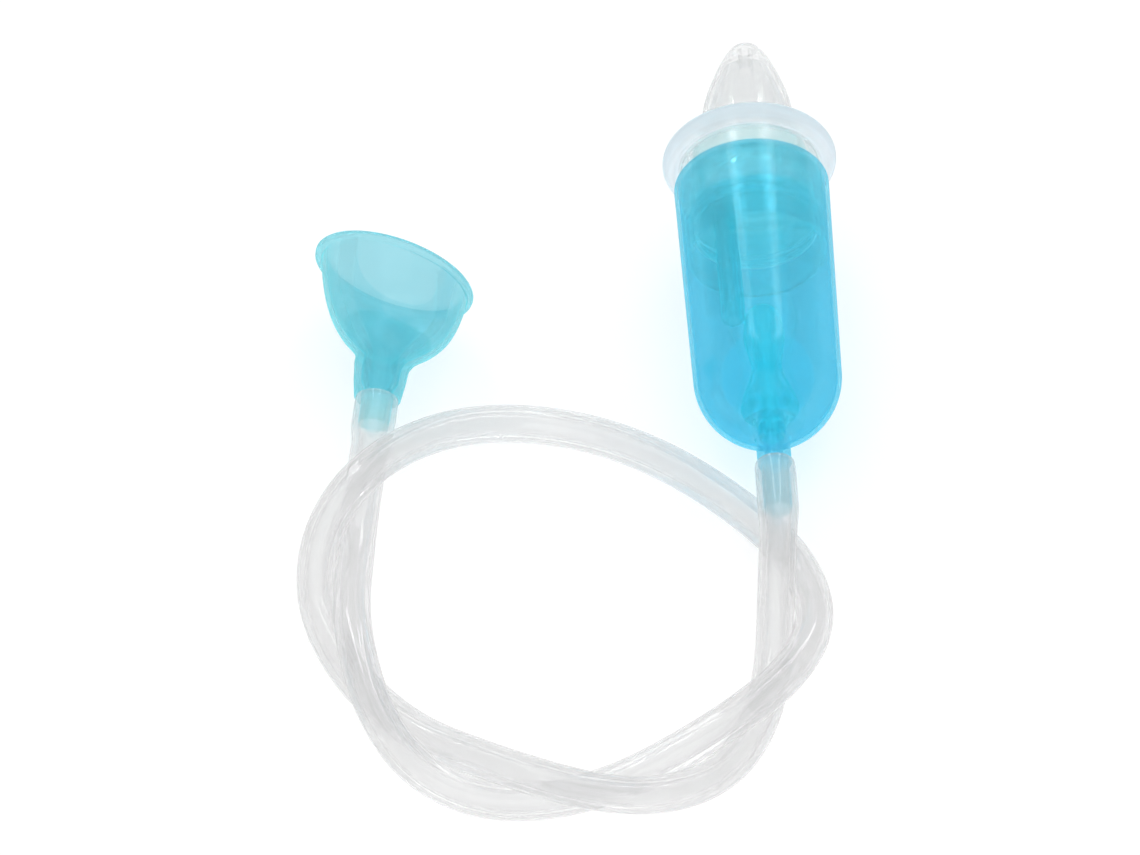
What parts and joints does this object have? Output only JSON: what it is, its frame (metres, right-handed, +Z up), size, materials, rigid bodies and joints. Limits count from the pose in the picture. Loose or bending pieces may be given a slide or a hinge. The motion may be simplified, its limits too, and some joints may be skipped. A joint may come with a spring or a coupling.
{
  "type": "nasal aspirator",
  "caption": "Mouth-suction nasal aspirator: a collecting cup with a stopper lid, a soft nose tip with a round guard, a coiled clear hose and an angled funnel mouthpiece.",
  "frame": {"origin": "bottom centre of the bounding box of the bottle and the mouthpiece together, on the surface that they lie on", "axes": "+Z up from the surface, +Y along the bottle in plan towards the nose tip, +X to the bottle's side of the coil"},
  "size_m": [0.1202, 0.2023, 0.0368],
  "materials": {
    "cup_blue": "translucent blue, smooth",
    "lid_blue": "translucent blue, smooth",
    "insert_blue": "translucent blue, smooth",
    "silicone_clear": "clear soft silicone, faintly frosted",
    "mouth_blue": "translucent blue, smooth",
    "hose_clear": "clear soft tubing, faintly milky"
  },
  "bodies": {
    "cup": {"collector_cup": "cup_blue", "outlet_standpipe": "insert_blue", "hose": "hose_clear"},
    "lid": {"lid_stopper": "lid_blue", "inlet_insert": "insert_blue"},
    "tip": {"nose_tip": "silicone_clear"},
    "mouthpiece": {"mouthpiece": "mouth_blue"}
  },
  "joints": [
    {"name": "lid_pull", "type": "slide", "parent": "cup", "child": "lid", "axis": [0, 0.9989, 0.0466], "range_m": [0, 0.042]},
    {"name": "tip_pull", "type": "slide", "parent": "lid", "child": "tip", "axis": [0, 0.9989, 0.0466], "range_m": [0, 0.012]},
    {"name": "mouthpiece_turn", "type": "hinge", "parent": "cup", "child": "mouthpiece", "pos_m": [-0.0447, -0.024, 0.0116], "axis": [0.1794, 0.9674, 0.1787], "continuous": true}
  ]
}
